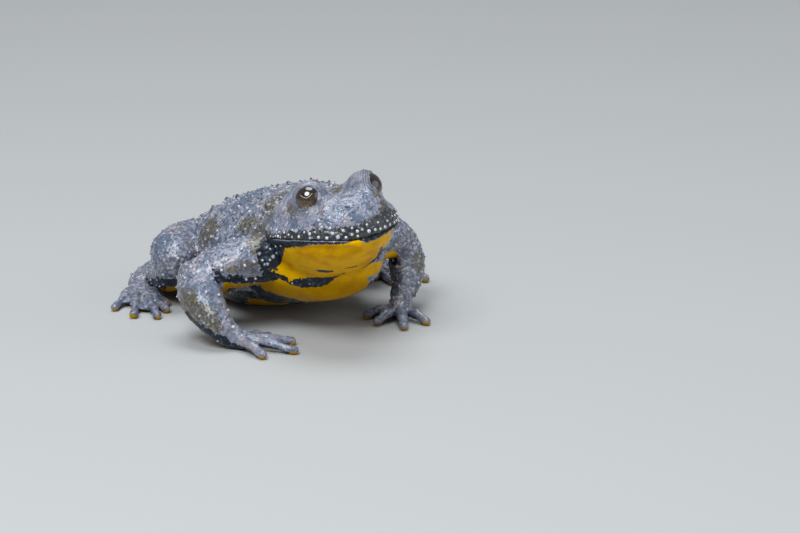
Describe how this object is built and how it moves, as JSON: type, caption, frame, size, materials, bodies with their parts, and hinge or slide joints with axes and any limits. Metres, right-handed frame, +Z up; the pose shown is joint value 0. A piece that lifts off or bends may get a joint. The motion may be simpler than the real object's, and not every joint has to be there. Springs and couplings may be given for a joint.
{
  "type": "fire-bellied toad",
  "caption": "Life-size still model of a fire-bellied toad, the yellow-bellied species, propped up on its forelegs with its head raised and turned.",
  "frame": {"origin": "middle of the model's footprint box, on the floor", "axes": "the toad faces -Y, its left side is +X, and +Z is up"},
  "size_m": [0.0428, 0.0462, 0.021],
  "materials": {
    "skin_grey": "wet warty skin, lilac grey with dark blotches",
    "skin_yellow": "wet smooth skin, deep yellow with blue-black blotches",
    "eye": "clear wet eye with a dark copper-flecked iris"
  },
  "bodies": {
    "root": {"head": "skin_grey", "lower_jaw": "skin_yellow", "trunk": "skin_grey", "eye_right": "eye", "eye_left": "eye", "upper_arm_right": "skin_grey", "upper_arm_left": "skin_grey", "forearm_right": "skin_grey", "forearm_left": "skin_grey", "hand_right": "skin_grey", "hand_left": "skin_grey", "thigh_right": "skin_grey", "thigh_left": "skin_grey", "shank_right": "skin_grey", "shank_left": "skin_grey", "foot_right": "skin_grey", "foot_left": "skin_grey"}
  },
  "joints": []
}
